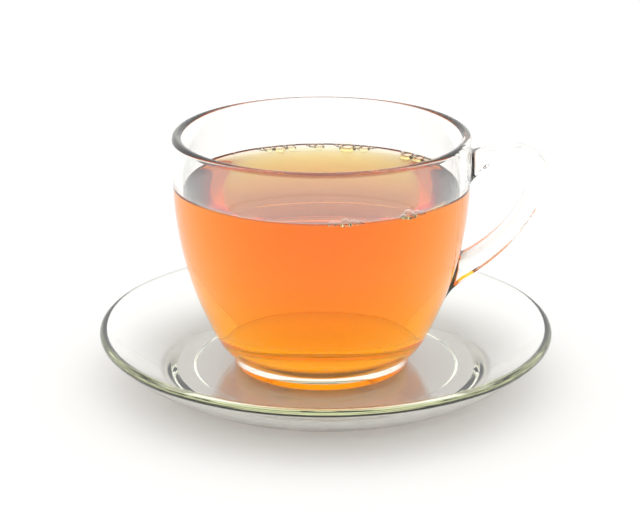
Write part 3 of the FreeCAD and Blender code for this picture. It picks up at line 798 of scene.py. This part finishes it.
DOME_STEPS = 28
PRESSED_TOGETHER = 0.94      # bubbles in a raft stand a little closer than their diameters
FLOAT_SHARE = 0.9            # how much of the meniscus's climb a bubble rides up
level_z = cup_base + tea_level * MM
mould = turned("one_dome", [p * 1000 for p in dome], DOME_STEPS, 0.0, 0.0, tea_liquid)
report(mould)
spots, radii = [], []
for start, diameters in RAFTS:
    angle = start
    for place, diameter in enumerate(diameters):
        ring = inner_radius - diameter / 2
        if place:
            touch = (diameter + diameters[place - 1]) / 2 * PRESSED_TOGETHER
            angle += math.degrees(touch / ring)
        spot = polar((cup_axis / MM, 0), ring, angle)
        rise = CLIMB * math.exp(-diameter / 2 / CAPILLARY) * FLOAT_SHARE
        spots.append((spot.x * MM, spot.y * MM, level_z + rise * MM))
        radii.append(diameter / 2 * MM)
bubbles = grown("edge_bubbles", bubble_tree(), spots, [],
                {"Dome": mould, "Spin Seed": 5, "Material": tea_liquid}, {"radius": radii})
bpy.data.objects.remove(mould)
report(bubbles)

# %% [markdown]
# ## The stage: paper, soft light and camera
#
# The cup stands on plain white paper, in the soft light of a white studio that is brightest
# above and behind the cup and dimmer towards the front. Light from behind is what makes a
# drink in a glass glow. The paper only reflects, and every ray meets the same surroundings,
# so the glass shows what really stands round it. All of the light comes from one soft
# gradient on the world, which gives smooth shadows without the grain of small lamps.

# %% White paper
paper = bpy.data.materials.new("white_paper")
paper.use_nodes = True
tree = paper.node_tree
tree.nodes.clear()
place = add(tree, "ShaderNodeTexCoord")
fibres = add(tree, "ShaderNodeTexNoise", {}, {
    "Vector": place.outputs["Object"], "Scale": 900.0, "Detail": 2.0})
tooth = add(tree, "ShaderNodeBump", {}, {
    "Strength": 0.2, "Distance": 0.02 * MM, "Height": fibres.outputs["Fac"]})
surface = add(tree, "ShaderNodeBsdfPrincipled", {}, {
    "Base Color": linear("#f7f7f5"), "Roughness": 0.9, "Specular IOR Level": 0.1,
    "Normal": tooth})
add(tree, "ShaderNodeOutputMaterial", {}, {"Surface": surface})
sheet = bpy.data.meshes.new("paper_floor")
level = saucer_low.z - 0.05 * MM
sheet.from_pydata([(-4, -4, level), (4, -4, level), (4, 4, level), (-4, 4, level)], [],
                  [(0, 1, 2, 3)])
floor = bpy.data.objects.new("paper_floor", sheet)
bpy.context.scene.collection.objects.link(floor)
floor.data.materials.append(paper)
print("the paper is", round(floor.dimensions.x, 1), "m wide")

# %% Soft studio light
BRIGHT, DIM = 1.27, 0.84
world = bpy.data.worlds.new("white_studio")
bpy.context.scene.world = world
world.use_nodes = True
tree = world.node_tree
tree.nodes.clear()
look = add(tree, "ShaderNodeSeparateXYZ", {}, {
    0: add(tree, "ShaderNodeTexCoord").outputs["Generated"]})
overhead = add(tree, "ShaderNodeMapRange", {"interpolation_type": "SMOOTHSTEP"}, {
    "Value": look.outputs["Z"], "From Min": 0.25, "From Max": 0.65})
behind = add(tree, "ShaderNodeMapRange", {"interpolation_type": "SMOOTHSTEP"}, {
    "Value": look.outputs["Y"], "From Min": 0.1, "From Max": 0.6})
softbox = add(tree, "ShaderNodeMath", {"operation": "MAXIMUM"}, {0: overhead, 1: behind})
strength = add(tree, "ShaderNodeMapRange", {}, {
    "Value": softbox, "To Min": DIM, "To Max": BRIGHT})
glow = add(tree, "ShaderNodeBackground", {}, {"Color": linear("#ffffff"), "Strength": strength})
add(tree, "ShaderNodeOutputWorld", {}, {"Surface": glow})
print("surroundings of", len(tree.nodes), "nodes")

# %% Camera
CAMERA_PLACE = (-0.00177, -0.5517, 0.2265)
CAMERA_PITCH = 18.95
lens = bpy.data.cameras.new("camera")
lens.lens = 106.8
lens.sensor_width = 36.0
lens.clip_start = 0.01
camera = bpy.data.objects.new("camera", lens)
camera.location = CAMERA_PLACE
camera.rotation_euler = (math.radians(90 - CAMERA_PITCH), 0, 0)
bpy.context.scene.collection.objects.link(camera)
bpy.context.scene.camera = camera
bpy.context.scene.view_settings.view_transform = "Standard"
cycles = bpy.context.scene.cycles
cycles.max_bounces = 24
cycles.transmission_bounces = 24
cycles.glossy_bounces = 12
print("the camera looks down", CAMERA_PITCH, "degrees")

# %% [markdown]
# ## Bodies and nodes
#
# Every piece is attached to the body it moves with, and the model's node that it stands for
# is hidden.

# %% Bodies and nodes
for piece, node, slot in ((cup, "cup", "cup_glass"), (saucer, "saucer", "saucer_glass"),
                          (tea, "tea", "tea")):
    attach(piece, "root")
    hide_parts(node)
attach(bubbles, "root")
